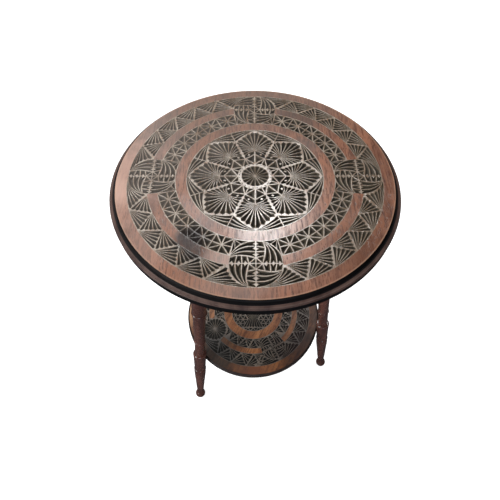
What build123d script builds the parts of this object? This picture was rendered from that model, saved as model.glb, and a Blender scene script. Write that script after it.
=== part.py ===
from build123d import *
from math import atan2, degrees, hypot, sqrt
import os

# Round two-tier occasional table: a carved top and a smaller carved shelf on three splayed, turned legs.
#
# The frame is in millimetres, +Z up. The origin is on the floor at the table's centre, and +Y runs along the
# grain of the top, away from the front. Every piece is one node, written to parts/NODE.step.

# ---- driving dimensions -------------------------------------------------------------------------------
TABLE_HEIGHT = 685.0
DISC_RADIUS = 206.0  # the flat carved disc of the top, out to its arris
TOP_THICKNESS = 22.0
MOULDING_REACH = 10.4  # how far the edge moulding stands out past the arris
SHELF_RADIUS = 157.0
SHELF_THICKNESS = 15.0
SHELF_TOP_Z = 221.0
BLOCK_RADIUS = 145.0
BLOCK_THICKNESS = 22.0

# The legs stand on three equally spaced lines. Angles are counted from the front (-Y) towards +X.
LEG_ANGLES = {"left": -45.6, "right": 74.4, "rear": 194.4}
FOOT_SPREAD = 195.5  # from the table's centre to each leg's axis, at the floor
LEG_LEAN = 0.121  # how far a leg's axis moves inwards for each millimetre of height

TENON_RADIUS = 9.0
DOWEL_RADIUS = 4.0
DOWEL_IN_LEG = 11.0
DOWEL_IN_SHELF = 26.0
SCREW_SHANK_RADIUS = 2.1
SCREW_HEAD_RADIUS = 4.2
SCREW_HEAD_DEPTH = 2.6
SCREW_LENGTH = 32.0
SCREW_TIP = 5.0
SCREWS_INSIDE_RADIUS = 62.0  # circle of the screws nearer the centre
SCREWS_OUTSIDE_RADIUS = 122.0
SLOT_TURN = 37.0
GLIDE_RADIUS = 8.5
GLIDE_HEIGHT = 3.0
NAIL_RADIUS = 1.1
NAIL_LENGTH = 13.0
NAIL_HEAD_RADIUS = 3.0
NAIL_HEAD_HEIGHT = 0.8

# The turned leg: places along its own axis, counted from the floor, and its larger radii.
BALL_RADIUS = 12.4
BALL_CENTRE = 12.2
NECK_RADIUS = 8.5
NECK_TOP = 44.0
LOWER_RING = 176.0
COLLAR_LIP = 254.0
COLLAR_RADIUS = 14.5
MIDDLE_RING = 315.0
STEP_RING = 431.0
UPPER_RING = 546.0
RING_REACH = 1.3
RING_HALF = 2.4
RING_QUIRK = 0.7

# ---- sizes worked out from them -----------------------------------------------------------------------
BOARD_UNDERSIDE_Z = TABLE_HEIGHT - TOP_THICKNESS
BLOCK_UNDERSIDE_Z = BOARD_UNDERSIDE_Z - BLOCK_THICKNESS
SHELF_MID_Z = SHELF_TOP_Z - SHELF_THICKNESS / 2
LEG_TILT = degrees(atan2(LEG_LEAN, 1.0))
ALONG_PER_HEIGHT = hypot(1.0, LEG_LEAN)  # distance along a leg's axis for each millimetre of height
LEG_BLANK_TOP = 700.0  # past the block, where every leg is then cut level
TENON_TOP_Z = BOARD_UNDERSIDE_Z - 0.4  # a hair short of the board, so the shoulder seats first
TENON_ROOT = 10.0  # how far a tenon's rod starts below its shoulder, to be one with the leg
DOWEL_SHORT_OF_AXIS = 2.0  # how far a dowel's blind end stops from its leg's axis
TRIM_WIDTH = 900.0  # wider than the whole table


def axis_radius(height):
    """Distance of a leg's axis from the table's centre line at a height."""
    return FOOT_SPREAD - LEG_LEAN * height


def around(angle):
    """Turns geometry drawn on the +X side to an angle counted from the front (-Y) towards +X."""
    return Rot(0, 0, angle - 90)


def leg_frame(angle):
    """A frame on a leg's axis: its origin is on the floor and its Z runs up the leg."""
    return around(angle) * Pos(FOOT_SPREAD, 0, 0) * Rot(0, -LEG_TILT, 0)


def turned(edges):
    """Revolves a closed outline in the XZ plane about Z."""
    return revolve(make_face(Curve() + edges), Axis.Z)


# ---- the top ------------------------------------------------------------------------------------------
def top_outline():
    """Half of the board's section. The edge is a lip, a cove, a flat bead, a quirk and a square band."""
    lip_drop, lip_undercut = 1.2, 1.0
    cove_reach, cove_drop = 2.2, 5.8
    bead_reach, bead_drop = 3.4, 6.2
    crown_reach, crown_drop = 8.8, 7.4
    nose_drop = 9.4
    quirk_reach, quirk_drop = 8.8, 11.2
    band_reach, band_drop, band_bevel = 9.8, 12.2, 1.0

    def at(reach, drop):
        return (DISC_RADIUS + reach, 0, TABLE_HEIGHT - drop)

    centre_top, centre_low = (0, 0, TABLE_HEIGHT), (0, 0, BOARD_UNDERSIDE_Z)
    cove_top = at(-lip_undercut, lip_drop + 0.5)
    cove_middle = at(0.1, (lip_drop + cove_drop) / 2 + 1.0)
    bead_middle = at((bead_reach + crown_reach) / 2, bead_drop + 0.2)
    return [
        Line(centre_top, at(0, 0)),
        Line(at(0, 0), at(0, lip_drop)),
        Line(at(0, lip_drop), cove_top),
        ThreePointArc(cove_top, cove_middle, at(cove_reach, cove_drop)),
        Line(at(cove_reach, cove_drop), at(bead_reach, bead_drop)),
        ThreePointArc(at(bead_reach, bead_drop), bead_middle, at(crown_reach, crown_drop)),
        ThreePointArc(at(crown_reach, crown_drop), at(10.0, 8.2), at(MOULDING_REACH, nose_drop)),
        Line(at(MOULDING_REACH, nose_drop), at(quirk_reach, quirk_drop)),
        Line(at(quirk_reach, quirk_drop), at(band_reach, band_drop)),
        Line(at(band_reach, band_drop), at(band_reach, TOP_THICKNESS - band_bevel)),
        Line(at(band_reach, TOP_THICKNESS - band_bevel), at(band_reach - band_bevel, TOP_THICKNESS)),
        Line(at(band_reach - band_bevel, TOP_THICKNESS), centre_low),
        Line(centre_low, centre_top),
    ]


def top_board():
    """One board, with the screws' holes in its underside."""
    return turned(top_outline()) - block_screws()


# ---- the block under the top, and what fixes it --------------------------------------------------------
def screw_places():
    """Angle and radius of each block screw: one inside each leg and one between each pair of legs."""
    inside = [(angle, SCREWS_INSIDE_RADIUS) for angle in LEG_ANGLES.values()]
    outside = [(angle + 60.0, SCREWS_OUTSIDE_RADIUS) for angle in LEG_ANGLES.values()]
    return inside + outside


def wood_screw():
    """Countersunk wood screw, head down, with its head's face on the block's underside."""
    outline = Polyline(
        (0, 0, 0),
        (SCREW_HEAD_RADIUS, 0, 0),
        (SCREW_SHANK_RADIUS, 0, SCREW_HEAD_DEPTH),
        (SCREW_SHANK_RADIUS, 0, SCREW_LENGTH - SCREW_TIP),
        (0, 0, SCREW_LENGTH),
        close=True,
    )
    slot_width, slot_depth = 1.1, 1.0
    slot = Pos(0, 0, slot_depth / 2) * Box(2 * SCREW_HEAD_RADIUS, slot_width, slot_depth)
    return revolve(make_face(outline), Axis.Z) - slot


def placed_screws(screw):
    """A copy of one upright shape at each block screw, its driver slot turned a little further each time."""
    return [
        around(angle) * Pos(radius, 0, BLOCK_UNDERSIDE_Z) * Rot(0, 0, SLOT_TURN * count) * screw
        for count, (angle, radius) in enumerate(screw_places())
    ]


def block_screws():
    return Compound(children=placed_screws(wood_screw()))


def screw_hole():
    """The hole that a screw fills: its own outline without the driver slot."""
    sink = Pos(0, 0, SCREW_HEAD_DEPTH / 2) * Cone(SCREW_HEAD_RADIUS, SCREW_SHANK_RADIUS, SCREW_HEAD_DEPTH)
    return sink + Pos(0, 0, SCREW_LENGTH / 2) * Cylinder(SCREW_SHANK_RADIUS, SCREW_LENGTH)


def tenon_rod(angle):
    """A rod on a leg's axis that runs right through the block, for cutting sockets and tenons from."""
    rod_length = 300
    return leg_frame(angle) * Pos(0, 0, BLOCK_UNDERSIDE_Z) * Cylinder(TENON_RADIUS, rod_length)


def leg_block():
    """Round block that takes the leg tenons and spreads them under the thin top."""
    under_round = 5.0
    block = Pos(0, 0, BLOCK_UNDERSIDE_Z + BLOCK_THICKNESS / 2) * Cylinder(BLOCK_RADIUS, BLOCK_THICKNESS)
    lower_rim = block.edges().filter_by(GeomType.CIRCLE).sort_by(Axis.Z)[0]
    block = fillet(lower_rim, under_round)
    for angle in LEG_ANGLES.values():
        block -= tenon_rod(angle)
    for hole in placed_screws(screw_hole()):
        block -= hole
    return block


# ---- the legs -----------------------------------------------------------------------------------------
def ring(place, below, above):
    """A small bead between two quirks, on a leg whose radius is below and above on either side."""
    low, high = place - RING_HALF, place + RING_HALF
    low_quirk = (below - RING_QUIRK, 0, low)
    high_quirk = (above - RING_QUIRK, 0, high)
    crest = (max(below, above) + RING_REACH, 0, place)
    return [
        Line((below, 0, low - RING_QUIRK), low_quirk),
        ThreePointArc(low_quirk, crest, high_quirk),
        Line(high_quirk, (above, 0, high + RING_QUIRK)),
    ]


def leg_outline():
    """The turned outline, from the foot up, as edges in the XZ plane with Z along the leg."""
    room = RING_HALF + RING_QUIRK
    foot = (0, 0, BALL_CENTRE - BALL_RADIUS)
    ball_top = (NECK_RADIUS, 0, BALL_CENTRE + sqrt(BALL_RADIUS**2 - NECK_RADIUS**2))
    swell_end = (12.7, 0, LOWER_RING - room)
    collar_edge = (COLLAR_RADIUS, 0, COLLAR_LIP - 4.0)
    collar_nose = (COLLAR_RADIUS - 0.5, 0, COLLAR_LIP + 0.6)
    collar_rim = (COLLAR_RADIUS - 2.4, 0, COLLAR_LIP + 2.0)
    above_collar = 10.8
    at_middle = (11.0, 11.1)  # radius just below and just above each ring
    at_step = (12.9, 13.8)
    at_upper = (15.0, 14.8)
    top = (13.6, 0, LEG_BLANK_TOP)
    return [
        ThreePointArc(foot, (BALL_RADIUS, 0, BALL_CENTRE), ball_top),
        # the lower shank swells from the neck, then draws in to the lower ring
        Spline(
            ball_top,
            (NECK_RADIUS - 0.2, 0, NECK_TOP),
            (10.9, 0, 97.0),
            (13.3, 0, 150.0),
            swell_end,
            tangents=[(-0.3, 0, 1), (-0.12, 0, 1)],
        ),
        *ring(LOWER_RING, swell_end[0], swell_end[0]),
        # the thick stretch that meets the shelf, ending in a rounded lip and a step in
        Line((swell_end[0], 0, LOWER_RING + room), collar_edge),
        ThreePointArc(collar_edge, collar_nose, collar_rim),
        Line(collar_rim, (above_collar, 0, collar_rim[2])),
        Line((above_collar, 0, collar_rim[2]), (at_middle[0], 0, MIDDLE_RING - room)),
        *ring(MIDDLE_RING, *at_middle),
        Line((at_middle[1], 0, MIDDLE_RING + room), (at_step[0], 0, STEP_RING - room)),
        *ring(STEP_RING, *at_step),
        Line((at_step[1], 0, STEP_RING + room), (at_upper[0], 0, UPPER_RING - room)),
        *ring(UPPER_RING, *at_upper),
        Line((at_upper[1], 0, UPPER_RING + room), top),
        Line(top, (0, 0, top[2])),
        Line((0, 0, top[2]), foot),
    ]


def leg_body():
    """The turned leg, upright on its own axis."""
    return turned(leg_outline())


def slab(low, high):
    """A wide horizontal slab between two heights, for trimming."""
    return Pos(0, 0, (low + high) / 2) * Box(TRIM_WIDTH, TRIM_WIDTH, high - low)


def wedge():
    """Thin wedge for a tenon's end, upright, its blunt end at the origin and its edge below."""
    depth, blunt, edge, width = 16.0, 2.4, 0.4, 2 * TENON_RADIUS - 3.0
    outline = Polyline(
        (-blunt / 2, 0, 0),
        (blunt / 2, 0, 0),
        (edge / 2, 0, -depth),
        (-edge / 2, 0, -depth),
        close=True,
    )
    return extrude(make_face(outline), width / 2, both=True)


def tenon_wedge(angle):
    end = leg_frame(angle) * Pos(0, 0, BOARD_UNDERSIDE_Z * ALONG_PER_HEIGHT) * wedge()
    return end & slab(BLOCK_UNDERSIDE_Z, TENON_TOP_Z)


def shelf_dowel(angle):
    """Dowel that lies level, half in a leg and half in the shelf's edge."""
    outer = axis_radius(SHELF_MID_Z) - DOWEL_SHORT_OF_AXIS
    inner = outer - DOWEL_IN_LEG - DOWEL_IN_SHELF
    dowel = Rot(0, 90, 0) * Cylinder(DOWEL_RADIUS, outer - inner)
    return around(angle) * Pos((outer + inner) / 2, 0, SHELF_MID_Z) * dowel


def leg(angle):
    """Body cut level at the foot and under the block, with its tenon, wedge slot, dowel and nail holes."""
    body = leg_frame(angle) * leg_body() & slab(GLIDE_HEIGHT, BLOCK_UNDERSIDE_Z)
    body += tenon_rod(angle) & slab(BLOCK_UNDERSIDE_Z - TENON_ROOT, TENON_TOP_Z)
    return body - tenon_wedge(angle) - shelf_dowel(angle) - glide_nail(angle)


# ---- the feet -----------------------------------------------------------------------------------------
def foot_place(angle):
    """The floor straight below the centre of a leg's ball."""
    return around(angle) * Pos(axis_radius(BALL_CENTRE), 0, 0)


def foot_glide(angle):
    """Low domed metal cap under a foot, with a flat to stand on and a seat for its nail's head."""
    flat, rim = 5.0, 0.8
    shoulder = (7.5, 0, 0.9)
    edges = [
        Line((0, 0, 0), (flat, 0, 0)),
        ThreePointArc((flat, 0, 0), shoulder, (GLIDE_RADIUS, 0, GLIDE_HEIGHT - rim)),
        Line((GLIDE_RADIUS, 0, GLIDE_HEIGHT - rim), (GLIDE_RADIUS, 0, GLIDE_HEIGHT)),
        Line((GLIDE_RADIUS, 0, GLIDE_HEIGHT), (0, 0, GLIDE_HEIGHT)),
        Line((0, 0, GLIDE_HEIGHT), (0, 0, 0)),
    ]
    return foot_place(angle) * turned(edges) - glide_nail(angle)


def glide_nail(angle):
    """Nail held in a glide by its head and driven up into the foot."""
    head_low = GLIDE_HEIGHT - NAIL_HEAD_HEIGHT
    head = Pos(0, 0, GLIDE_HEIGHT - NAIL_HEAD_HEIGHT / 2) * Cylinder(NAIL_HEAD_RADIUS, NAIL_HEAD_HEIGHT)
    shank = Pos(0, 0, head_low + NAIL_LENGTH / 2) * Cylinder(NAIL_RADIUS, NAIL_LENGTH)
    return foot_place(angle) * (head + shank)


# ---- the shelf ----------------------------------------------------------------------------------------
def shelf_board():
    """Round shelf with softened edges, scalloped where the legs pass and bored for their dowels."""
    edge_round = 4.0
    board = Pos(0, 0, SHELF_MID_Z) * Cylinder(SHELF_RADIUS, SHELF_THICKNESS)
    board = fillet(board.edges().filter_by(GeomType.CIRCLE), edge_round)
    for angle in LEG_ANGLES.values():
        board -= leg_frame(angle) * leg_body()
        board -= shelf_dowel(angle)
    return board


def main():
    nodes = {
        "top_board": top_board(),
        "leg_block": leg_block(),
        "block_screws": block_screws(),
        "shelf_board": shelf_board(),
        "glide_nails": Compound(children=[glide_nail(angle) for angle in LEG_ANGLES.values()]),
    }
    for side, angle in LEG_ANGLES.items():
        nodes[f"leg_{side}"] = leg(angle)
        nodes[f"tenon_wedge_{side}"] = tenon_wedge(angle)
        nodes[f"shelf_dowel_{side}"] = shelf_dowel(angle)
        nodes[f"foot_glide_{side}"] = foot_glide(angle)
    os.makedirs("parts", exist_ok=True)
    for name, shape in nodes.items():
        export_step(shape, f"parts/{name}.step")


main()
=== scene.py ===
"""Looks of a round, chip-carved, two-tier table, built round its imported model.

Everything is in metres in the model's frame: +Z up, the origin on the floor at the table's centre, and -Y
towards the front. An azimuth is in degrees from the front (-Y) towards +X. A carved pattern is laid out in
units of its disc's radius, and every chip in it is cut into the mesh as real facets.
"""

from math import acos, cos, degrees, pi, radians, sin
from random import Random

import bmesh
import bpy
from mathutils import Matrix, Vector
from mathutils.geometry import delaunay_2d_cdt


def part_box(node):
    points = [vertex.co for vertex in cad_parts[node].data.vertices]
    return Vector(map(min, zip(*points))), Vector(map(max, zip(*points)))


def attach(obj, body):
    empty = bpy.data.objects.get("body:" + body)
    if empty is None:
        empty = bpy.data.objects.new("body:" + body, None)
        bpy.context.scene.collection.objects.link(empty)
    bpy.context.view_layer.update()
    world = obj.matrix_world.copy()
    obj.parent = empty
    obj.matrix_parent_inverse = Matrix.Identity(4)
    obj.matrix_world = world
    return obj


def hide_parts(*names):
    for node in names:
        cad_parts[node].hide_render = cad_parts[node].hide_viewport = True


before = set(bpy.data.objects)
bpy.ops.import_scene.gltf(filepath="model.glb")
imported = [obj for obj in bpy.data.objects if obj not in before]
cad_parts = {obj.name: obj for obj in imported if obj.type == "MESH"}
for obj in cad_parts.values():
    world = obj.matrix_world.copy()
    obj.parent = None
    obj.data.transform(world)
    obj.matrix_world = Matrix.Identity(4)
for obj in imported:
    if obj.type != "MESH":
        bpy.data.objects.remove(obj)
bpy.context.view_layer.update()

# ---- sizes -----------------------------------------------
MM = 0.001
top_low, top_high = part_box("top_board")
TOP_Z = top_high.z
TOP_THICKNESS = TOP_Z - top_low.z
MOULDING_REACH = 10.4 * MM  # how far the moulding stands out past the carved disc
TOP_RADIUS = top_high.x - MOULDING_REACH
shelf_low, shelf_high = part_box("shelf_board")
SHELF_Z = shelf_high.z
SHELF_THICKNESS = SHELF_Z - shelf_low.z
SHELF_RADIUS = shelf_high.y
SHELF_ROUND = 4.0 * MM  # radius of the shelf's rounded edge
SHELF_TURN = 27.0  # azimuth of the shelf's first roundel, and of its grain

TOP_LAND = 0.46 * MM  # half the width of the ridge that stays between two wide chips
SHELF_LAND = 0.55 * MM
LAND_SHARE = 0.31  # the same for thin chips, as a share of half their width
WALL_SLOPE = 0.85  # depth of a chip for each unit of half width
DEEPEST = 2.6 * MM
UNEVEN_DEPTH = (0.9, 1.0)  # hand-cut chips vary between these shares of their full depth
OFF_CENTRE = 0.12  # how far a chip's deepest line may wander, as a share of its half width
CLOSED_GAP = 0.1 * MM  # side lines nearer than this meet in a tip
HAND_SEED = 5
EVEN_TONE = 0.5  # tone of everything that is not a chip; chips have tones from 0 to 1
FULL_STAIN_AND_SHADE = 1.3 * MM  # depth from which a chip's valley is darkest, in stain and painted shade
STAIN_AND_SHADE_CURVE = 0.45  # below 1, shallow cuts are darker, in stain and painted shade, than their share of that depth
RIM_STEPS = 240  # straight pieces in a full circle
SAME_PLACE = 1e-7  # points nearer than this, in disc radii, become one
SHARP_ANGLE = 25.0  # degrees between two facets from which their edge is sharp


# ---- drawing in the plane --------------------------------
def lerp(a, b, share):
    return a + (b - a) * share


def middle(pair):
    return (pair[0] + pair[1]) / 2


def polar(radius, azimuth):
    """The place at a radius and an azimuth."""
    angle = radians(azimuth)
    return Vector((radius * sin(angle), -radius * cos(angle)))


def turned(points, azimuth):
    """Points drawn with +Y outwards and +X sideways, turned to stand at an azimuth."""
    side, out = polar(1, azimuth + 90), polar(1, azimuth)
    return [side * p.x + out * p.y for p in points]


def straight(a, b, steps=1):
    """Places along a line, both ends included."""
    return [lerp(a, b, i / steps) for i in range(steps + 1)]


def band_line(a, b, steps=4):
    """A line between two (azimuth, radius) places that keeps to a ring where both radii agree."""
    return [polar(lerp(a[1], b[1], i / steps), lerp(a[0], b[0], i / steps)) for i in range(steps + 1)]


def bowed(a, b, bulge, steps=4):
    """From a to b, standing out to the left of the way by a share of its length."""
    side = Vector((a.y - b.y, b.x - a.x)) * bulge
    return [lerp(a, b, i / steps) + side * (4 * i / steps * (1 - i / steps)) for i in range(steps + 1)]


def bezier(a, b, c, d, steps):
    points = []
    for t in [i / steps for i in range(steps + 1)]:
        points.append(a * (1 - t) ** 3 + b * 3 * t * (1 - t) ** 2 + c * 3 * t * t * (1 - t) + d * t**3)
    return points


def at_share(line, share):
    """The point a share of the way along a polyline's length."""
    spans = [(b - a).length for a, b in zip(line, line[1:])]
    left = share * sum(spans)
    for a, b, span in zip(line, line[1:], spans):
        if left <= span:
            return lerp(a, b, left / span)
        left -= span
    return line[-1]


def ring_crossing(centre_radius, circle_radius, radius):
    """Degrees from its centre line at which a circle crosses a ring round the origin."""
    cosine = (radius**2 + centre_radius**2 - circle_radius**2) / (2 * radius * centre_radius)
    return degrees(acos(min(1.0, cosine)))


# ---- chips -----------------------------------------------
# For each way a wide cut can end, in half widths: how far its corners stand back from the border, how far in
# its deepest point lies, the places (across, in) that its border passes between the corners, and the places
# of the hollows beside them.
CUT_ENDS = {
    "flat": (0.0, 0.9, [], []),
    "point": (0.85, 1.35, [(0, 0)], []),
    "scallop": (0.35, 0.9, [(0, 0)], []),
    "notch": (
        0.0,
        1.5,
        [(0.42, 0), (0.36, 0.32), (0.14, 0.46), (0, 0.9), (-0.14, 0.46), (-0.36, 0.32), (-0.42, 0)],
        [(0.64, 0.42), (-0.64, 0.42)],
    ),
}
HOLLOW_DEPTH = 0.5  # of the depth of the cut beside it
END_SHARE = 0.8  # how much of the way to the next section an end's slope may take
END_ROOM = 1.1  # how much further off that section has to be than the slope needs
EYE_SECTIONS = (0.03, 0.22, 0.5, 0.78, 0.97)  # shares of an eyed chip's length


class Carving:
    """Chips in a flat disc: points with depths, and the edges that their facets meet along."""

    def __init__(self, radius, land, rim=1.0):
        self.radius = radius
        self.widest_land = land / radius
        self.hand = Random(HAND_SEED)
        self.tone = EVEN_TONE
        self.points = []
        self.depths = []
        self.tones = []
        self.edges = []
        self.line(band_line((0, rim), (360, rim), RIM_STEPS)[:-1], closed=True)

    def add(self, point, depth=0.0):
        self.points.append(point)
        self.depths.append(depth)
        self.tones.append(self.tone)
        return len(self.points) - 1

    def line(self, points, closed=False):
        marks = [self.add(point) for point in points]
        self.edges += list(zip(marks, marks[1:]))
        if closed:
            self.edges.append((marks[-1], marks[0]))
        return marks

    def land(self, half):
        """How much of a chip's half width stays as ridge."""
        return min(self.widest_land, LAND_SHARE * half)

    def depth(self, half):
        """A chip's depth where it is cut to a half width, a little uneven as hand work is."""
        return min(half * WALL_SLOPE, DEEPEST / self.radius) * self.hand.uniform(*UNEVEN_DEPTH)

    def pocket(self, a, b, c):
        """A three-sided chip whose walls meet in one deepest point."""
        sides = (b - c).length, (c - a).length, (a - b).length
        centre = (a * sides[0] + b * sides[1] + c * sides[2]) / sum(sides)
        inner_radius = abs((b - a).cross(c - a)) / sum(sides)
        land = self.land(inner_radius)
        self.tone = self.hand.random()
        shrunk = [lerp(centre, p, 1 - land / inner_radius) for p in (a, b, c)]
        corners = self.line(shrunk, closed=True)
        off_centre = lerp(centre, self.hand.choice(shrunk), self.hand.uniform(0, OFF_CENTRE))
        deepest = self.add(off_centre, self.depth(inner_radius - land))
        self.edges += [(deepest, corner) for corner in corners]
        self.tone = EVEN_TONE

    def cut(self, left, right, start="flat", end="flat"):
        """A V-cut between two side lines of as many points; it runs out to a tip where they meet."""
        self.tone = self.hand.random()
        rows, head = self.tip(list(zip(left, right)))
        rows, tail = self.tip(rows[::-1])
        rows = rows[::-1]
        if not head:
            rows = self.room_for_end(rows, start)
        if not tail:
            rows = self.room_for_end(rows[::-1], end)[::-1]
        sections = [self.section(a, b) for a, b in rows]
        if not head:
            inner = middle(rows[1]) if len(rows) > 1 else tail[0]
            sections[0], head = self.end_wall(rows[0], inner, start)
        if not tail:
            inner = middle(rows[-2]) if len(rows) > 1 else head[0]
            sections[-1], tail = self.end_wall(rows[-1], inner, end)
        self.join(sections, head, tail)
        self.tone = EVEN_TONE

    def tip(self, rows):
        """The point where the first row closes up, if it does, and the rows behind it."""
        if (rows[0][0] - rows[0][1]).length > CLOSED_GAP / self.radius:
            return rows, []
        return rows[1:], [middle(rows[0])]

    def room_for_end(self, rows, shape):
        """Drops rows that a wide end's slope would run past."""
        half = (rows[0][0] - rows[0][1]).length / 2
        need = self.land(half) + CUT_ENDS[shape][1] * half
        while len(rows) > 2 and (middle(rows[1]) - middle(rows[0])).length < END_ROOM * need:
            rows = rows[:1] + rows[2:]
        return rows

    def section(self, left, right):
        """Both edges of a cut at one row, its deepest point between them, and the depth there."""
        half = (left - right) / 2
        kept = half.length - self.land(half.length)
        reach = half.normalized() * kept
        centre = (left + right) / 2
        deepest = centre + half * self.hand.uniform(-OFF_CENTRE, OFF_CENTRE)
        return centre + reach, deepest, centre - reach, self.depth(kept)

    def end_wall(self, row, inner, shape):
        """The last section of a cut's wide end, and the border in front of it."""
        left, centre, right, depth = self.section(*row)
        corners, deepest, border, hollows = CUT_ENDS[shape]
        inwards = inner - centre
        across = (left - right) / 2
        land = self.land(across.length)
        half = min(across.length, (END_SHARE * inwards.length - land) / deepest)
        inwards.normalize()
        step = inwards * (land + corners * half)
        deep_at = centre + inwards * (land + deepest * half)
        border, hollows = [
            [centre + across * side + inwards * (land + back * half) for side, back in places]
            for places in (border, hollows)
        ]
        for hollow in hollows:
            self.add(hollow, HOLLOW_DEPTH * depth)
        return (left + step, deep_at, right + step, depth), border

    def join(self, sections, head, tail):
        """Adds a cut's sections and the edges between them."""
        marks = [(self.add(a), self.add(deep, depth), self.add(b)) for a, deep, b, depth in sections]
        for one, other in zip(marks, marks[1:]):
            self.edges += list(zip(one, other))
        for left, deep, right in marks:
            self.edges += [(left, deep), (deep, right)]
        for border, (left, deep, right) in ((head, marks[0]), (tail, marks[-1])):
            passed = [self.add(point) for point in border]
            way = [left, *passed, right]
            self.edges += list(zip(way, way[1:]))
            if passed:
                self.edges.append((passed[len(passed) // 2], deep))

    def eyed(self, left, right, pip):
        """A broad chip between two side lines, with a small diamond left standing in its middle."""
        self.tone = self.hand.random()
        rows = [self.section(at_share(left, share), at_share(right, share)) for share in EYE_SECTIONS]
        corners = self.line([row[0] for row in rows] + [row[2] for row in rows[::-1]], closed=True)
        near, far = [self.add(rows[i][1], rows[i][3]) for i in (1, 3)]
        beside, centre, across, depth = rows[2]
        shallows = [self.add(lerp(centre, p, 0.6), 0.5 * depth) for p in (beside, across)]
        for shallow in shallows:
            self.edges += [(near, shallow), (shallow, far)]
        self.edges += [(near, corners[0]), (near, corners[-1]), (far, corners[4]), (far, corners[5])]
        along = (rows[3][1] - rows[1][1]).normalized() * pip
        over = (beside - across).normalized() * pip
        self.line([centre + along, centre + over, centre - along, centre - over], closed=True)
        self.tone = EVEN_TONE

    def comb(self, side, other, count, start="flat", end="point", edge=None):
        """Cuts side by side between two side lines; their far ends lie on an edge line if there is one."""
        steps = len(side) - 1
        ribs = []
        for k in range(count + 1):
            rib = [lerp(a, b, k / count) for a, b in zip(side, other)]
            if edge:
                shift = at_share(edge, k / count) - rib[-1]
                rib = [p + shift * (i / steps) ** 2 for i, p in enumerate(rib)]
            ribs.append(rib)
        for one, next_one in zip(ribs, ribs[1:]):
            self.cut(one, next_one, start, end)


# ---- patterns --------------------------------------------
# Lengths are shares of the disc's radius. A band's zigzag begins at its first azimuth from each roundel's
# centre line, and goes in and out once in each step.
TOP_BAND = {"roundel_at": 0.746, "roundel_radius": 0.175, "first": 14, "step": 12.4, "cells": 5, "ribs": 5}
TOP_RINGS = [(0.497, 0.573), (0.709, 0.777), (0.92, 1.0)]  # the plain rings, as inner and outer radii
TOP_STARS = (0.573, 0.709)
TOP_FANS = (0.780, 0.916)
STAR_CELLS = 5  # in each quarter of the top
FIRST_STAR = 13.9  # azimuth from a roundel's centre line to the first star
STAR_GAP = 0.0015  # between the stars and the plain rings beside them

SHELF_CELLS = 4
SHELF_FIRST = 18.5
SHELF_BAND = {
    "roundel_at": 0.64,
    "roundel_radius": 0.187,
    "first": SHELF_FIRST,
    "step": (90 - 2 * SHELF_FIRST) / (SHELF_CELLS - 0.5),
    "cells": SHELF_CELLS,
    "ribs": 4,
}
SHELF_RINGS = [(0.328, 0.445), (0.595, 0.671), (0.863, 1.0)]
SHELF_INNER_FANS = (0.449, 0.591)
SHELF_OUTER_FANS = (0.676, 0.858)
SHELF_HEXAGON = 0.325
RING_SLACK = 0.001  # how far past its borders a ring still counts as plain

# The petals' corners, from the disc's centre out.
PETALS = 8
ROSETTE = 0.106
HUB = 0.124
PETAL_FOOT = 0.188
PETAL_ARCH = 0.225
PETAL_ROOT = 0.262
PETAL_SHOULDER = 0.390
PETAL_TIP = 0.490
MEDALLION = 0.493
EYE_PIP = 0.010  # half the length of the diamond left in a petal's eye
SAW_GAP = 0.002  # on either side of the saw-toothed ring, towards the rosette and the petals


def zigzag_fans(carving, band, azimuth, inner, outer, ribs):
    """A band of triangles that point in and out by turns, each a fan from its first corner to its far leg."""
    step, count = band["step"], band["cells"]
    for i in range(count):
        near = azimuth + band["first"] + i * step
        tooth, foot = (near + step / 2, outer), (near + step, inner)
        carving.comb(band_line((near, inner), foot), band_line((near, inner), tooth), ribs)
        if i < count - 1:
            carving.comb(band_line(tooth, (tooth[0] + step, outer)), band_line(tooth, foot), ribs)


def roundel_side(band, azimuth, turn, start, end, steps=6):
    """The stretch of a band that lies along a roundel, on its side towards turn (+1 or -1)."""
    points = []
    for i in range(steps + 1):
        radius = lerp(start, end, i / steps)
        away = ring_crossing(band["roundel_at"], band["roundel_radius"], radius)
        points.append(polar(radius, azimuth + turn * away))
    return points


def outer_band_ends(carving, band, azimuth, inner, outer):
    """The fans between a roundel and the zigzag on either side of it."""
    start, ribs = band["first"], band["ribs"]
    first_tooth = start + band["step"] / 2
    ring = outer + 0.002  # these fans reach a little further out than the teeth
    along = roundel_side(band, azimuth, 1, ring, inner, 4)
    away = ring_crossing(band["roundel_at"], band["roundel_radius"], ring)
    side = band_line((azimuth + away, ring), (azimuth + first_tooth, outer))
    carving.comb(side, along, ribs)
    last_tooth = (azimuth - first_tooth, outer)
    to_ring = band_line(last_tooth, (azimuth - away, ring))
    to_foot = band_line(last_tooth, (azimuth - start, inner))
    edge = roundel_side(band, azimuth, -1, ring, inner)
    carving.comb(to_ring, to_foot, ribs + 1, edge=edge)


def star_cell(carving, inner, outer, azimuth, half_step):
    """An eight-rayed star: eight pockets round a centre in a cell of a band."""
    centre_radius = (inner + outer) / 2
    around = [
        (-half_step, inner), (0, inner), (half_step, inner), (half_step, centre_radius),
        (half_step, outer), (0, outer), (-half_step, outer), (-half_step, centre_radius),
    ]
    corners = [polar(radius, azimuth + shift) for shift, radius in around]
    centre = polar(centre_radius, azimuth)
    for a, b in zip(corners, corners[1:] + corners[:1]):
        carving.pocket(centre, a, b)


def star_band_end(carving, band, azimuth, turn, inner, outer, start):
    """Small cuts that fill the corner between a roundel and the band's first cell."""
    corner = (azimuth + turn * start, inner + 0.004)
    low, high = inner + 0.006, outer - 0.012  # clear of the rings' borders
    near = ring_crossing(band["roundel_at"], band["roundel_radius"], low)
    side = band_line(corner, (azimuth + turn * near, low))
    other = band_line(corner, (azimuth + turn * start, high))
    edge = roundel_side(band, azimuth, turn, low, high)
    carving.comb(side, other, 3, end="flat", edge=edge)


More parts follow.
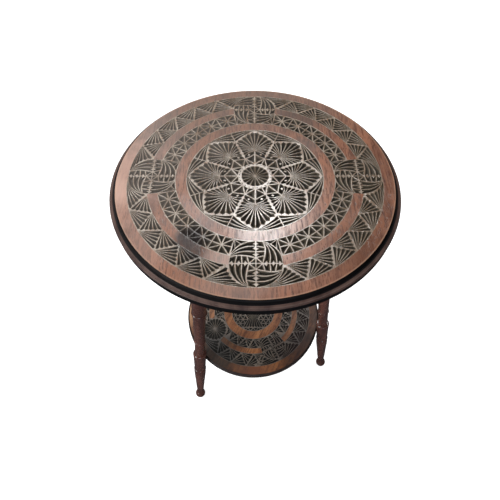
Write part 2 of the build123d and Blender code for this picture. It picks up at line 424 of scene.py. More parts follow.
def whirl_roundel(carving, centre, radius, azimuth):
    """Four leaves whirling round a crossed diamond, whose arms are chains of small lozenges."""
    right, up = polar(1, azimuth + 90), -polar(1, azimuth)

    def place(points, quarter):
        """Points of the first quarter, turned to another one and set in the disc."""
        out = []
        for p in points:
            x, y = p
            for _ in range(quarter):
                x, y = -y, x
            out.append(centre + (right * x + up * y) * radius)
        return out

    rim, hub, arm_half = 0.985, 0.25, 0.004  # in roundel radii, as all that follows
    tip_azimuth = -106
    tip = polar(rim, tip_azimuth)
    across, ahead = Vector((hub, 0)), Vector((0, hub))
    lower = bezier(tip, Vector((-0.68, 0.42)), Vector((-0.32, 0.34)), Vector((-arm_half, hub)), 8)
    upper = [polar(rim, lerp(tip_azimuth, -180, i / 8)) for i in range(9)]
    upper[-1] = upper[-1] - Vector((arm_half, 0))
    next_tip = Vector((tip.y, -tip.x))
    leaf_side = bezier(across, Vector((0.3, 0.32)), Vector((0.42, 0.66)), next_tip, 8)
    crossings = (hub, 0.5, 0.75, rim)  # heights at which ridges cross an arm
    landings = (0.34, 0.55, 0.72, 1.0)  # shares of the next leaf's side at which the same ridges end
    for quarter in range(4):
        carving.pocket(*place([ahead, across, Vector((0, 0))], quarter))
        carving.pocket(*place([ahead, across, at_share(leaf_side, landings[0])], quarter))
        sweeps, stubs = [], []
        for height, landing in zip(crossings, landings):
            share = (height - hub) / (rim - hub)
            sweeps.append([lerp(a, b, share) for a, b in zip(lower, upper)])
            stubs.append(bowed(at_share(leaf_side, landing), Vector((arm_half, height)), -0.04))
        stubs[-1] = [polar(rim, lerp(270 + tip_azimuth, 180, i / 4)) for i in range(5)]
        stubs[-1][-1] = stubs[-1][-1] + Vector((arm_half, 0))
        for lines in (sweeps, stubs):
            for a, b in zip(lines, lines[1:]):
                carving.cut(place(a, quarter), place(b, quarter), end="notch")


def rayed_roundel(carving, centre, radius, rays=20):
    """A compass rose: long cuts from a small hub to a toothed rim."""
    hub, rim = 0.06, 0.97
    marks = [centre + polar(radius * rim, 360 * k / rays) for k in range(rays + 1)]
    for a, b in zip(marks, marks[1:]):
        start = lerp(centre, middle((a, b)), hub)
        carving.cut([start, a], [start, b], end="point")


def petal(carving, azimuth):
    """One of eight kite-shaped petals, with its fan, its two eyes and the chips at its foot."""
    half_turn = radians(180 / PETALS)

    def beside(radius, share=1.0):
        """A place on the line that the petal shares with its neighbour, or a share of the way to it."""
        return Vector((radius * sin(half_turn * share), radius * cos(half_turn * share)))

    hub, arch, root, tip = [Vector((0, y)) for y in (HUB, PETAL_ARCH, PETAL_ROOT, PETAL_TIP)]
    foot, shoulder, ring_side = [beside(radius) for radius in (PETAL_FOOT, PETAL_SHOULDER, MEDALLION)]
    low = lerp(foot, shoulder, 0.16)  # where the fan's last cut meets the side
    edge = bowed(tip, shoulder, 0.05)
    spoke = bowed(root, shoulder, 0.06)
    lobe = bowed(root, low, 0.12)
    ring = [beside(MEDALLION, i / 4) for i in range(5)]
    combs = [  # between which lines, how many cuts, how they end, and along which edge
        (straight(root, tip, 4), spoke, 4, "point", edge),
        (spoke, lobe, 5, "point", None),
        (edge, ring, 3, "flat", straight(shoulder, ring_side, 3)),
    ]
    inner, outer = straight(foot, arch, 8), bowed(low, root, -0.12, 8)
    outer[0] = lerp(foot, low, 0.5)
    for mirror in (1, -1):
        def put(points):
            return turned([Vector((p.x * mirror, p.y)) for p in points], azimuth)

        for side, other, count, end, far in combs:
            carving.comb(put(side), put(other), count, end=end, edge=put(far) if far else None)
        carving.pocket(*put([hub, foot, arch]))
        carving.pocket(*put([hub, beside(HUB), foot]))
        carving.eyed(put(inner), put(outer), EYE_PIP)


def rosette(carving, radius, cuts, saw_outer, teeth):
    """A ring of long cuts, and a saw-toothed ring of small chips round it."""
    centre = Vector((0, 0))
    for k in range(cuts):
        a, b = polar(radius, 360 * k / cuts), polar(radius, 360 * (k + 1) / cuts)
        carving.cut([centre, a], [centre, b], end="scallop")
    for k in range(teeth):
        a, b = polar(saw_outer, 360 * k / teeth), polar(saw_outer, 360 * (k + 1) / teeth)
        carving.pocket(a, b, polar(radius + SAW_GAP, 360 * (k + 0.5) / teeth))


def draw_rings(carving, rings, band, turn):
    """The borders of the plain rings, broken where the roundels lie over them."""
    for radius in [r for ring in rings for r in ring if r < 1.0]:
        reach = abs(radius - band["roundel_at"])
        if reach >= band["roundel_radius"]:
            carving.line(band_line((0, radius), (360, radius), RIM_STEPS)[:-1], closed=True)
            continue
        away = ring_crossing(band["roundel_at"], band["roundel_radius"], radius)
        for quarter in range(4):
            start = turn + 90 * quarter
            carving.line(band_line((start + away, radius), (start + 90 - away, radius), RIM_STEPS // 4))


def top_carving():
    """Petals round a rosette, then stars and fans in bands that four whirl roundels lie over."""
    carving = Carving(TOP_RADIUS, TOP_LAND)
    band = TOP_BAND
    draw_rings(carving, TOP_RINGS, band, 0)
    rosette(carving, ROSETTE, cuts=16, saw_outer=HUB - SAW_GAP, teeth=24)
    for k in range(PETALS):
        petal(carving, 360 / PETALS * k)
    star_step = (90 - 2 * FIRST_STAR) / STAR_CELLS
    low, high = TOP_STARS[0] + STAR_GAP, TOP_STARS[1] - STAR_GAP
    for quarter in range(4):
        azimuth = 90 * quarter
        whirl_roundel(carving, polar(band["roundel_at"], azimuth), band["roundel_radius"], azimuth)
        for k in range(STAR_CELLS):
            star_cell(carving, low, high, azimuth + FIRST_STAR + (k + 0.5) * star_step, star_step / 2)
        for turn in (1, -1):
            star_band_end(carving, band, azimuth, turn, *TOP_STARS, FIRST_STAR)
        zigzag_fans(carving, band, azimuth, *TOP_FANS, band["ribs"])
        outer_band_ends(carving, band, azimuth, *TOP_FANS)
    return carving


def lattice(carving, corner, a, b, rows, first):
    """Small three-sided chips that fill a triangle from one of its rows out to its far side."""
    def spot(row, place):
        line = lerp(corner, a, row / rows), lerp(corner, b, row / rows)
        return lerp(*line, place / row) if row else corner

    for row in range(first, rows):
        for place in range(row + 1):
            low, high = spot(row + 1, place), spot(row + 1, place + 1)
            carving.pocket(spot(row, place), low, high)
            if place < row:
                carving.pocket(spot(row, place), high, spot(row, place + 1))


def hexagon_centre(carving, ring, turn):
    """Six fans that meet in the middle, every other one short with a lattice beyond it, and outer chips."""
    centre, corner_radius, chips, inset = Vector((0, 0)), ring * 0.95, 4, 3
    for k in range(6):
        first, last = turn + 60 * k, turn + 60 * (k + 1)
        a, b = polar(corner_radius, first), polar(corner_radius, last)
        if k % 2:
            carving.comb(straight(centre, a * 0.5), straight(centre, b * 0.5), 5)
            lattice(carving, centre, a, b, chips, chips // 2)
        else:
            carving.comb(straight(centre, a), straight(centre, b), 7)
        outer = band_line((first + inset, ring), (last - inset, ring), 2 * chips)
        for i in range(chips):
            c, d = lerp(a, b, i / chips), lerp(a, b, (i + 1) / chips)
            crest = outer[2 * i + 1]
            carving.pocket(c, d, crest)
            if i < chips - 1:
                carving.pocket(crest, d, outer[2 * i + 3])


def shelf_carving():
    """A hexagon of fans, then two bands of fans, with whirl and rayed roundels over them by turns."""
    carving = Carving(SHELF_RADIUS, SHELF_LAND, rim=1 - SHELF_ROUND / SHELF_RADIUS)
    band = SHELF_BAND
    draw_rings(carving, SHELF_RINGS, band, SHELF_TURN)
    hexagon_centre(carving, SHELF_HEXAGON, turn=-30)
    low, high = SHELF_INNER_FANS
    for quarter in range(4):
        azimuth = SHELF_TURN + 90 * quarter
        centre = polar(band["roundel_at"], azimuth)
        if quarter % 2:
            rayed_roundel(carving, centre, band["roundel_radius"])
        else:
            whirl_roundel(carving, centre, band["roundel_radius"], azimuth)
        for turn in (1, -1):
            star_band_end(carving, band, azimuth, turn, low + 0.001, high - 0.001, SHELF_FIRST)
        zigzag_fans(carving, band, azimuth, low, high, ribs=3)
        zigzag_fans(carving, band, azimuth, *SHELF_OUTER_FANS, band["ribs"])
        outer_band_ends(carving, band, azimuth, *SHELF_OUTER_FANS)
    return carving


# ---- meshes ----------------------------------------------
def plain_test(rings, band, turn):
    """A test of whether a place lies on a plain ring, clear of the roundels."""
    roundels = [polar(band["roundel_at"], turn + 90 * quarter) for quarter in range(4)]

    def is_plain(point):
        if any((point - centre).length < band["roundel_radius"] for centre in roundels):
            return False
        return any(low - RING_SLACK < point.length < high + RING_SLACK for low, high in rings)

    return is_plain


def disc_mesh(name, carving, top_z, profile, is_plain):
    """A carved disc with a turned edge: profile is a list of (radius, height below the face, material)."""
    points, _, faces, origins, _, _ = delaunay_2d_cdt(carving.points, carving.edges, [], 0, SAME_PLACE)
    size = carving.radius
    depths = [size * carving.depths[o[0]] if o else 0.0 for o in origins]
    tones = [carving.tones[o[0]] if o else EVEN_TONE for o in origins]
    # how dark each point is, from its depth: the chip's stain and the painted shade of its valley
    stain_and_shade = [min(1.0, depth / FULL_STAIN_AND_SHADE) ** STAIN_AND_SHADE_CURVE for depth in depths]
    vertices = [(p.x * size, p.y * size, top_z - depth) for p, depth in zip(points, depths)]
    place = {mark: index for index, origin in enumerate(origins) for mark in origin}
    rim = [place[mark] for mark in range(RIM_STEPS)]
    materials = [0] * len(faces)
    plain = [is_plain(sum((points[i] for i in face), Vector((0, 0))) / len(face)) for face in faces]
    faces = [tuple(face) for face in faces]
    for radius, drop, material in profile:
        ring = [len(vertices) + k for k in range(RIM_STEPS)]
        vertices += [(*polar(radius, 360 * k / RIM_STEPS), top_z - drop) for k in range(RIM_STEPS)]
        faces += [(rim[k - 1], ring[k - 1], ring[k], rim[k]) for k in range(RIM_STEPS)]
        materials += [material] * RIM_STEPS
        rim = ring
    faces.append(tuple(rim[::-1]))
    materials.append(profile[-1][2])
    plain += [True] * (len(faces) - len(plain))
    mesh = bpy.data.meshes.new(name)
    mesh.from_pydata(vertices, [], faces)
    mesh.polygons.foreach_set("material_index", materials)
    on_edge = [0.0] * (len(vertices) - len(depths))
    write_attribute(mesh, "cut", "POINT", stain_and_shade + on_edge)
    write_attribute(mesh, "tone", "POINT", tones + on_edge)
    write_attribute(mesh, "plain", "FACE", [float(value) for value in plain])
    return finished(mesh, radians(SHARP_ANGLE))


def write_attribute(mesh, name, domain, values):
    """Stores a number for each point or face, for the materials to read."""
    mesh.attributes.new(name, "FLOAT", domain).data.foreach_set("value", values)


def finished(mesh, sharp_angle):
    """Consistent normals, and smooth shading that breaks at edges sharper than an angle."""
    shape = bmesh.new()
    shape.from_mesh(mesh)
    bmesh.ops.recalc_face_normals(shape, faces=shape.faces)
    for face in shape.faces:
        face.smooth = True
    for edge in shape.edges:
        edge.smooth = len(edge.link_faces) == 2 and edge.calc_face_angle(0) < sharp_angle
    shape.to_mesh(mesh)
    shape.free()
    return mesh


def arc_profile(start, end, bulge, material, steps=6):
    """Profile points after start, along an arc-like curve to end."""
    line = bowed(Vector(start), Vector(end), bulge, steps)[1:]
    return [(p.x, p.y, material) for p in line]


def top_profile():
    """Lip, cove, flat bead, quirk and square band, down to the flat underside."""
    face, black_stain_and_shade, brown, under = 0, 1, 2, 3

    def at(reach, drop):
        return TOP_RADIUS + reach * MM, drop * MM

    bottom, outermost = TOP_THICKNESS / MM, MOULDING_REACH / MM
    return [
        (*at(-0.1, 0.2), face),
        (*at(0, 0.5), face),
        # near black from the lip down into the cove and over the bead's inner part: ebonised stain and
        # painted shade under the lip
        (*at(0, 1.2), black_stain_and_shade),
        (*at(-1.0, 1.7), black_stain_and_shade),
        *arc_profile(at(-1.0, 1.7), at(2.2, 5.8), -0.16, black_stain_and_shade),
        (*at(3.4, 6.2), black_stain_and_shade),
        (*at(5.2, 6.3), black_stain_and_shade),
        *arc_profile(at(5.2, 6.3), at(8.8, 7.4), 0.1, brown),
        *arc_profile(at(8.8, 7.4), at(outermost, 9.4), 0.16, brown, 4),
        (*at(8.8, 11.2), black_stain_and_shade),
        (*at(9.8, 12.2), black_stain_and_shade),
        (*at(9.8, bottom - 1.0), black_stain_and_shade),
        (*at(8.8, bottom), black_stain_and_shade),
        (*at(-40, bottom), under),
    ]


def shelf_profile():
    """Rounded edge, down to the flat underside."""
    edge, under = 1, 2
    radius, bottom, soft = SHELF_RADIUS, SHELF_THICKNESS, SHELF_ROUND
    return [
        *arc_profile((radius - soft, 0), (radius, soft), 0.2, edge, 5),
        (radius, bottom - soft, edge),
        *arc_profile((radius, bottom - soft), (radius - soft, bottom), 0.2, edge, 5),
        (0.8 * radius, bottom, under),
    ]


# ---- materials -------------------------------------------
class Nodes:
    """A short way to lay out a material's nodes."""

    def __init__(self, name):
        self.material = bpy.data.materials.new(name)
        self.material.use_nodes = True
        self.tree = self.material.node_tree
        self.surface = self.tree.nodes["Principled BSDF"]
        self.position = self.add("ShaderNodeTexCoord").outputs["Object"]

    def add(self, kind, **values):
        node = self.tree.nodes.new(kind)
        for name, value in values.items():
            setattr(node, name, value)
        return node

    def put(self, socket, value):
        """Links or sets one input."""
        if isinstance(value, bpy.types.NodeSocket):
            self.tree.links.new(value, socket)
        else:
            socket.default_value = value

    def fill(self, node, values):
        """Links or sets inputs by their names."""
        for name, value in values.items():
            self.put(node.inputs[name], value)

    def maths(self, operation, a, b=0.0):
        node = self.add("ShaderNodeMath", operation=operation)
        self.put(node.inputs[0], a)
        self.put(node.inputs[1], b)
        return node.outputs[0]

    def vector_maths(self, operation, a, b=(0, 0, 0), output="Value"):
        node = self.add("ShaderNodeVectorMath", operation=operation)
        self.put(node.inputs[0], a)
        self.put(node.inputs[1], b)
        return node.outputs[output]

    def mapped(self, value, low, high, to_low=0.0, to_high=1.0):
        """A value carried over from one range to another, easing in and out, and held at its ends."""
        node = self.add("ShaderNodeMapRange", interpolation_type="SMOOTHSTEP")
        for socket, number in zip(node.inputs[:5], (value, low, high, to_low, to_high)):
            self.put(socket, number)
        return node.outputs[0]

    def blend(self, share, a, b):
        """Colour a, with a share of colour b laid over it."""
        node = self.add("ShaderNodeMix", data_type="RGBA")
        for index, value in ((0, share), (6, a), (7, b)):
            self.put(node.inputs[index], value)
        return node.outputs[2]

    def stretched(self, scale, turn=0.0):
        """The position, turned about Z and scaled along each axis."""
        spin = self.add("ShaderNodeMapping")
        self.fill(spin, {"Vector": self.position, "Rotation": (0, 0, radians(turn))})
        grow = self.add("ShaderNodeMapping")
        self.fill(grow, {"Vector": spin.outputs[0], "Scale": scale})
        return grow.outputs[0]

    def noise(self, vector, scale=1.0, detail=4.0, roughness=0.55, distortion=0.0):
        node = self.add("ShaderNodeTexNoise")
        self.fill(node, {"Vector": vector, "Scale": scale, "Detail": detail})
        self.fill(node, {"Roughness": roughness, "Distortion": distortion})
        return node.outputs["Fac"]

    def spots(self, count, detail, roughness=0.55):
        """Noise about 0.5, with so many spots to a metre."""
        return self.noise(self.position, count, detail, roughness)

    def attribute(self, name):
        return self.add("ShaderNodeAttribute", attribute_name=name).outputs["Fac"]

    def bump(self, height, distance, strength):
        node = self.add("ShaderNodeBump")
        self.fill(node, {"Height": height, "Distance": distance, "Strength": strength})
        self.put(self.surface.inputs["Normal"], node.outputs[0])

    def blot(self, place, size, strength):
        """How strongly a soft, ragged blot at a place covers a point, from 0 to its strength."""
        gap = self.vector_maths("DISTANCE", self.position, place)
        ragged = self.maths("MULTIPLY", self.spots(40, 4), 0.8 * size)
        return self.mapped(self.maths("ADD", gap, ragged), 0.7 * size, 1.5 * size, strength, 0.0)

    def blotted(self, colour, radius, height, blots):
        """Lays blots over a disc: each an azimuth, a share of its radius, a size, a strength and a shade."""
        for azimuth, share, size, strength, blot_shade in blots:
            place = (*polar(share * radius, azimuth), height)
            colour = self.blend(self.blot(place, size, strength), colour, shade(*blot_shade))
        return colour

    def towards(self, direction, start, end, share):
        """Grows from 0 to a share towards one side of the table, between two distances in top radii."""
        way = self.vector_maths("DOT_PRODUCT", self.position, (*direction, 0.0))
        return self.mapped(way, start * TOP_RADIUS, end * TOP_RADIUS, 0.0, share)

    def beyond(self, start, end, share):
        """Grows from 0 to a share between two distances from the table's upright axis, in top radii."""
        flat = self.vector_maths("MULTIPLY", self.position, (1.0, 1.0, 0.0), "Vector")
        reach = self.vector_maths("LENGTH", flat)
        return self.mapped(reach, start * TOP_RADIUS, end * TOP_RADIUS, 0.0, share)

    def ray(self, kind):
        """1 for rays of one kind, such as Camera or Glossy, and 0 for others."""
        return self.add("ShaderNodeLightPath").outputs[f"Is {kind} Ray"]

    def finish(self, colour, roughness, metallic=0.0, shine=0.5, coat=0.0, coat_roughness=0.2):
        """Gives the surface its looks, and hands over the material."""
        self.fill(self.surface, {"Base Color": colour, "Roughness": roughness, "Metallic": metallic})
        self.fill(self.surface, {"Specular IOR Level": shine})
        self.fill(self.surface, {"Coat Weight": coat, "Coat Roughness": coat_roughness})
        return self.material


def shade(red, green, blue):
    """A colour from its usual 0-255 screen values, as the light values that materials use."""
    parts = [v / 255 for v in (red, green, blue)]
    return (*[p / 12.92 if p <= 0.04045 else ((p + 0.055) / 1.055) ** 2.4 for p in parts], 1.0)


def shades(*colours):
    return [shade(*colour) for colour in colours]


# How fine wood's figure is along each axis; the short one is the way that its grain runs.
GRAIN_X = (0.06, 1.0, 1.0)
GRAIN_Y = (1.0, 0.06, 1.0)
GRAIN_Z = (1.0, 1.0, 0.06)

# Ways across the table in which dust, painted light and painted shade grow.
BACK_LEFT = (-0.45, 0.9)
LEFT = (-0.9, 0.45)
RIGHT = (0.95, -0.3)


def wood_grain(nodes, turn, along=GRAIN_Y, fineness=1.0):
    """Slow colour figure, fine streaks and dark pores of wood, turned about Z."""

    def layer(count, shortening, **look):
        """Noise drawn out along the grain, with so many spots to a metre across it."""
        scale = [count * (a if a == 1 else shortening * a) for a in along]
        return nodes.noise(nodes.stretched(scale, turn), **look)

    figure = layer(40, 1, detail=5, distortion=0.6)
    streaks = layer(260 * fineness, 2, detail=4, roughness=0.6)
    pores = layer(1100 * fineness, 2, detail=2, roughness=0.5)
    return figure, streaks, nodes.mapped(pores, 0.56, 0.68)


def grain_height(nodes, streaks, pores):
    """Streaks stand up a little and pores are pits."""
    return nodes.maths("SUBTRACT", nodes.maths("MULTIPLY", streaks, 0.5), pores)


# Noise keeps mostly between 0.3 and 0.7, so a range high up in that leaves only spots and patches.
def plain_rings(nodes, grain, light, dark, dust_and_painted_light):
    """Polished wood with its figure, streaks and pores, dull patches, and dust and painted light towards the
    back.
    """
    figure, streaks, pores = grain
    patches = nodes.spots(9, 3, 0.6)
    ring = nodes.blend(nodes.mapped(figure, 0.36, 0.66), light, dark)
    ring = nodes.blend(nodes.mapped(streaks, 0.47, 0.62, 0.0, 0.6), ring, shade(66, 38, 28))
    ring = nodes.blend(nodes.maths("MULTIPLY", pores, 0.7), ring, shade(40, 24, 18))
    ring = nodes.blend(nodes.mapped(patches, 0.58, 0.74, 0.0, 0.45), ring, shade(70, 50, 44))
    # dust and painted light towards the back left, laid over the rings
    return nodes.blend(nodes.towards(BACK_LEFT, -0.15, 0.9, 0.5), ring, dust_and_painted_light)


def worn_and_shaded_ridges(nodes, grey, brown, bare):
    """What stands between chips: grey and brown patches, bare wood here and there, painted shade on the
    right.
    """
    blotches = nodes.spots(45, 4, 0.6)
    rubbed = nodes.mapped(nodes.spots(130, 2), 0.56, 0.70, 0.0, 0.6)
    ridge = nodes.blend(nodes.mapped(blotches, 0.38, 0.62), grey, brown)
    ridge = nodes.blend(rubbed, ridge, bare)
    # painted shade: the ridges darker towards the right, away from the light
    return nodes.blend(nodes.towards(RIGHT, 0.25, 0.85, 0.55), ridge, shade(104, 84, 66))


def chips_with_stain_and_shade(nodes, cut, tone, colours, dust_and_painted_light):
    """Facets that differ from chip to chip, grime, painted shade in the valleys, dust and painted light on
    the left, painted light on the right.
    """
    dark, pale, valley_shade = colours
    grime = nodes.mapped(nodes.spots(420, 3), 0.4, 0.7, 0.0, 0.35)
    facet = nodes.blend(grime, nodes.blend(tone, dark, pale), pale)
    # painted shade: facets darken towards each chip's deepest line
    chip = nodes.blend(nodes.mapped(cut, 0.25, 1.0), facet, valley_shade)
    # dust and painted light towards the left
    chip = nodes.blend(nodes.towards(LEFT, -0.2, 0.9, 0.5), chip, dust_and_painted_light)
    # painted light: chips paler towards the right
    return nodes.blend(nodes.towards(RIGHT, 0.25, 0.85, 0.3), chip, pale)


def carved_wood(name, disc, rings, ridges, chips, dust_and_painted_light, rough, ring_light_and_shade, stains_and_shade):
    """A carved disc's face. Disc is its radius, its height and the turn of its grain.

    Rings are light, dark and worn, ridges are grey, brown and bare, and chips are dark, pale and the painted
    shade of their valleys.
    """
    radius, height, turn = disc
    light, dark, worn, dust_and_painted_light = shades(*rings, dust_and_painted_light)
    nodes = Nodes(name)
    grain = wood_grain(nodes, turn)
    plain, cut, tone = [nodes.attribute(key) for key in ("plain", "cut", "tone")]

    # painted light and shade, laid over the plain rings in blots
    ring = nodes.blotted(plain_rings(nodes, grain, light, dark, dust_and_painted_light), radius, height, ring_light_and_shade)
    land = nodes.blend(plain, worn_and_shaded_ridges(nodes, *shades(*ridges)), ring)
    land = nodes.blend(nodes.beyond(0.988, 0.997, 0.35), land, shade(190, 150, 122))  # the top's rubbed edge
    flecks = nodes.mapped(nodes.spots(700, 2), 0.66, 0.74, 0.0, 0.35)
    land = nodes.blend(flecks, land, worn)

    wear = nodes.mapped(nodes.spots(160, 3), 0.3, 0.7, 0.02, 0.10)
    stained = nodes.mapped(nodes.maths("SUBTRACT", cut, wear), 0.0, 0.07)
    chip = chips_with_stain_and_shade(nodes, cut, tone, shades(*chips), dust_and_painted_light)
    # stains on the top, and painted shade in blots along the shelf's edge
    colour = nodes.blotted(nodes.blend(stained, land, chip), radius, height, stains_and_shade)

    _, streaks, pores = grain
    roughness = nodes.mapped(streaks, 0.3, 0.7, *rough)
    duller_ridges = nodes.mapped(plain, 0.0, 1.0, 0.06, 0.0)
    duller_chips = nodes.maths("MULTIPLY", stained, 0.2)
    for more in (duller_ridges, duller_chips):
        roughness = nodes.maths("ADD", roughness, more)
    nodes.bump(grain_height(nodes, streaks, pores), distance=0.12 * MM, strength=0.5)
    land_shine = nodes.mapped(plain, 0.0, 1.0, 0.95, 0.36)  # ridges glint more than the plain rings
    return nodes.finish(colour, roughness, shine=nodes.mapped(stained, 0.0, 1.0, land_shine, 0.15))


def smooth_wood(name, light, dark, rough, along=GRAIN_Z, coat=0.0, shine=0.5):
    """Wood without carving, between two colours and two roughnesses."""
    nodes = Nodes(name)
    figure, streaks, pores = wood_grain(nodes, 0, along, fineness=0.4)
    streaked = nodes.maths("MULTIPLY", nodes.mapped(streaks, 0.45, 0.75), 0.1)
    colour = nodes.blend(nodes.mapped(figure, 0.34, 0.68), *shades(light, dark))
    colour = nodes.blend(streaked, colour, shade(30, 14, 10))
    colour = nodes.blend(nodes.maths("MULTIPLY", pores, 0.08), colour, shade(16, 8, 6))
    roughness = nodes.mapped(nodes.spots(60, 4), 0.3, 0.7, *rough)
    nodes.bump(grain_height(nodes, streaks, pores), distance=0.02 * MM, strength=0.1)
    return nodes.finish(colour, roughness, shine=shine, coat=coat, coat_roughness=0.18)


def metal(name, colour, tarnish, smoothest):
    """Clouded, finely scratched metal, whose roughness grows with its tarnish."""
    nodes = Nodes(name)
    clouds = nodes.spots(260, 5)
    scratches = nodes.noise(nodes.stretched((4000, 300, 4000)), detail=2)
    shown = nodes.blend(nodes.mapped(clouds, 0.4, 0.7), *shades(colour, tarnish))
    roughness = nodes.mapped(clouds, 0.3, 0.7, smoothest, smoothest + 0.25)
    nodes.bump(scratches, distance=0.02 * MM, strength=0.4)
    return nodes.finish(shown, roughness, metallic=1.0)


# ---- the table -------------------------------------------
def placed(name, data):
    """A new object in the scene."""
    item = bpy.data.objects.new(name, data)
    bpy.context.scene.collection.objects.link(item)
    return item


def carved_piece(name, mesh, node, materials):
    """Puts a carved disc in the place of the model's plain board."""
    for material in materials:
        mesh.materials.append(material)
    item = placed(name, mesh)
    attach(item, "root")
    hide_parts(node)


def paint(start, material):
    """Gives a material to every model node whose name starts so."""
    for name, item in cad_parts.items():
        if name.startswith(start):
            item.data.materials.clear()
            item.data.materials.append(material)


top_wood = carved_wood(
    "carved_top_wood",
    disc=(TOP_RADIUS, TOP_Z, 0),
    rings=((143, 97, 75), (114, 76, 60), (160, 124, 100)),
    ridges=((153, 138, 121), (121, 101, 82), (147, 107, 79)),
    # dark and pale facets, and the painted shade of the valleys
    chips=((38, 34, 28), (76, 68, 56), (21, 19, 15)),
    # dust and painted sheen towards the left and back
    dust_and_painted_light=(128, 119, 112),
    rough=(0.17, 0.27),
    ring_light_and_shade=(  # painted light and shade: paler where light falls on the left and in front, darker at the back right and the front right
        (-90, 1.12, 0.120, 0.45, (206, 162, 142)),
        (-82, 1.05, 0.040, 0.30, (216, 176, 156)),
        (-12, 0.97, 0.070, 0.20, (184, 164, 152)),
        (-17, 0.75, 0.030, 0.30, (184, 168, 158)),
        (-48, 0.53, 0.050, 0.25, (180, 168, 164)),
        (4, 0.53, 0.040, 0.20, (184, 180, 176)),
        (152, 0.72, 0.045, 0.70, (84, 72, 66)),
        (128, 0.52, 0.030, 0.60, (100, 88, 82)),
        (46, 0.96, 0.060, 0.55, (86, 52, 36)),
        (-50, 0.98, 0.055, 0.18, (206, 170, 152)),
    ),
    stains_and_shade=(
        (-37, 0.70, 0.030, 0.90, (38, 32, 31)),
        (-30, 0.78, 0.016, 0.60, (36, 30, 28)),
        (-28, 0.86, 0.020, 0.25, (40, 36, 32)),
    ),
)
shelf_wood = carved_wood(
    "carved_shelf_wood",
    disc=(SHELF_RADIUS, SHELF_Z, SHELF_TURN),
    rings=((160, 105, 64), (124, 74, 42), (180, 130, 92)),
    ridges=((102, 90, 77), (80, 68, 57), (110, 80, 58)),
    # dark and pale facets, and the painted shade of the valleys
    chips=((31, 32, 30), (46, 45, 41), (16, 17, 16)),
    dust_and_painted_light=(64, 60, 54),
    rough=(0.42, 0.58),
    ring_light_and_shade=(  # painted shade in front, under the top, and painted light on the left
        (0, 1.05, 0.060, 0.80, (102, 60, 44)),
        (-88, 1.02, 0.040, 0.60, (176, 138, 104)),
    ),
    stains_and_shade=(  # painted shade along the edge, at the front left and on the right
        (-42, 1.02, 0.100, 0.88, (40, 38, 35)),
        (50, 1.12, 0.110, 0.85, (42, 31, 29)),
        (88, 1.16, 0.110, 0.75, (46, 37, 34)),
    ),
)
# near black: the ebonised band, and painted shade in the cove under the lip
ebonised_and_shaded = smooth_wood("ebonised_and_shaded_edge", (14, 10, 11), (7, 6, 7), (0.5, 0.65), GRAIN_Y, shine=0.2)
bead_wood = smooth_wood("edge_brown", (90, 68, 60), (62, 43, 38), (0.42, 0.55), GRAIN_Y, shine=0.35)
shelf_edge = smooth_wood("shelf_edge", (54, 42, 38), (36, 28, 25), (0.4, 0.55), GRAIN_Y, shine=0.3)
under_wood = smooth_wood("under_wood", (96, 66, 46), (70, 46, 32), (0.55, 0.75), GRAIN_Y)
leg_wood = smooth_wood("turned_mahogany", (100, 62, 52), (68, 40, 34), (0.24, 0.34), coat=0.6)
block_wood = smooth_wood("block_wood", (104, 72, 48), (78, 52, 34), (0.55, 0.75), GRAIN_X)
pale_wood = smooth_wood("pale_wood", (186, 152, 108), (160, 124, 84), (0.5, 0.7))
steel = metal("screw_steel", (150, 146, 140), (84, 74, 66), 0.3)
nickel = metal("glide_nickel", (196, 196, 196), (130, 126, 120), 0.18)

top_is_plain = plain_test(TOP_RINGS, TOP_BAND, 0)
shelf_is_plain = plain_test(SHELF_RINGS, SHELF_BAND, SHELF_TURN)
top_mesh = disc_mesh("carved_top", top_carving(), TOP_Z, top_profile(), top_is_plain)
shelf_mesh = disc_mesh("carved_shelf", shelf_carving(), SHELF_Z, shelf_profile(), shelf_is_plain)
carved_piece("carved_top", top_mesh, "top_board", [top_wood, ebonised_and_shaded, bead_wood, under_wood])
carved_piece("carved_shelf", shelf_mesh, "shelf_board", [shelf_wood, shelf_edge, under_wood])
paint("leg_", leg_wood)
paint("leg_block", block_wood)  # over the legs' wood, which its name also matches
paint("tenon_wedge", pale_wood)
paint("shelf_dowel", pale_wood)
paint("block_screws", steel)
paint("glide_nails", steel)
paint("foot_glide", nickel)


# ---- floor, light and camera -----------------------------
def floor_paper():
    """Pale paper that looks brighter to the camera than to the polished wood that it is reflected in."""
    nodes = Nodes("floor_paper")
    fibre = nodes.blend(nodes.spots(300, 3), shade(246, 246, 246), shade(240, 240, 240))
    dimmed = nodes.blend(nodes.ray("Glossy"), fibre, shade(56, 56, 60))
    glow = nodes.maths("MULTIPLY", nodes.ray("Camera"), 0.7)
    nodes.fill(nodes.surface, {"Emission Color": (1, 1, 1, 1), "Emission Strength": glow})
    return nodes.finish(dimmed, 0.9)


def floor():
    """A wide pale floor that curves up into a backdrop behind the table."""
    half, rise, sweep, steps = 4.0, 4.0, 1.2, 12
    bend = half - sweep
    line = [Vector((-half, 0)), Vector((bend, 0))]
    for i in range(1, steps + 1):
        angle = pi / 2 * i / steps
        line.append(Vector((bend + sweep * sin(angle), sweep - sweep * cos(angle))))
    line.append(Vector((half, rise)))
    vertices = [(x, p.x, p.y) for p in line for x in (-half, half)]
    faces = [(2 * i, 2 * i + 1, 2 * i + 3, 2 * i + 2) for i in range(len(line) - 1)]
    mesh = bpy.data.meshes.new("floor")
    mesh.from_pydata(vertices, [], faces)
    for face in mesh.polygons:
        face.use_smooth = True
    mesh.materials.append(floor_paper())
    placed("floor", mesh)


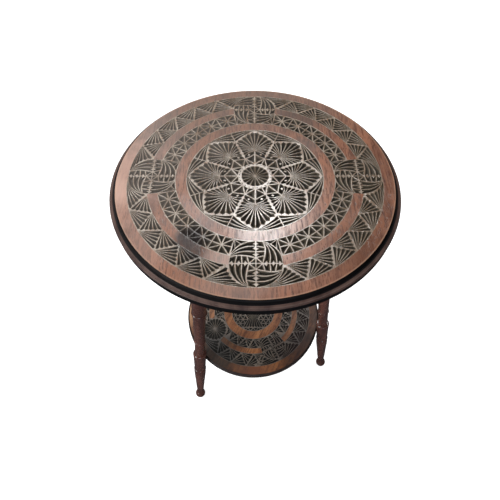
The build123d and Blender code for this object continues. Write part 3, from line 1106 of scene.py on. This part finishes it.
def area_light(name, place, target, size, watts, colour=(1, 1, 1)):
    """An elliptical light at a place, turned towards its target."""
    light = bpy.data.lights.new(name, "AREA")
    light.color = colour
    light.shape = "ELLIPSE"
    light.size, light.size_y = size
    light.energy = watts
    item = placed(name, light)
    item.location = place
    item.rotation_euler = (Vector(target) - Vector(place)).to_track_quat("-Z", "Y").to_euler()


def pale_world(seen, diffuse, glossy):
    """A plain white world, with its strength to the camera, to matt surfaces and to reflections."""
    world = bpy.data.worlds.new("studio")
    world.use_nodes = True
    nodes, links = world.node_tree.nodes, world.node_tree.links
    path = nodes.new("ShaderNodeLightPath")
    strength = diffuse
    for kind, value in (("Is Glossy Ray", glossy), ("Is Camera Ray", seen)):
        choice = nodes.new("ShaderNodeMapRange")
        links.new(path.outputs[kind], choice.inputs["Value"])
        if isinstance(strength, bpy.types.NodeSocket):
            links.new(strength, choice.inputs["To Min"])
        else:
            choice.inputs["To Min"].default_value = strength
        choice.inputs["To Max"].default_value = value
        strength = choice.outputs[0]
    links.new(strength, nodes["Background"].inputs["Strength"])
    nodes["Background"].inputs["Color"].default_value = (1, 1, 1, 1)
    bpy.context.scene.world = world


def camera():
    """Looks down at the table from in front of it."""
    aside, back, above_top = -0.037 * TOP_RADIUS, 2.127 * TOP_RADIUS, 2.209 * TOP_RADIUS
    downwards = 56.15
    data = bpy.data.cameras.new("camera")
    data.lens = 30.03
    data.sensor_width = 36.0
    item = placed("camera", data)
    item.location = (aside, -back, TOP_Z + above_top)
    item.rotation_euler = (radians(90 - downwards), 0, 0)
    bpy.context.scene.camera = item


floor()
top_centre, legs_centre = (0, 0, TOP_Z), (0, 0, 0.35)
area_light("back_glow", (0.08, 1.10, 2.20), top_centre, size=(0.40, 0.42), watts=14)
area_light("left_window", (-1.05, 1.25, 2.1), top_centre, size=(1.5, 1.5), watts=13)
area_light("left_key", (-1.6, -0.7, 2.2), top_centre, size=(1.0, 1.0), watts=20)
area_light("low_fill", (-1.9, -1.3, 0.8), legs_centre, size=(0.7, 0.7), watts=15)
area_light("front_window", (0.1, -2.6, 1.9), legs_centre, size=(1.0, 0.6), watts=18, colour=(0.75, 0.85, 1.0))
pale_world(seen=1.0, diffuse=0.4, glossy=0.04)
camera()
bpy.context.scene.view_settings.view_transform = "Standard"
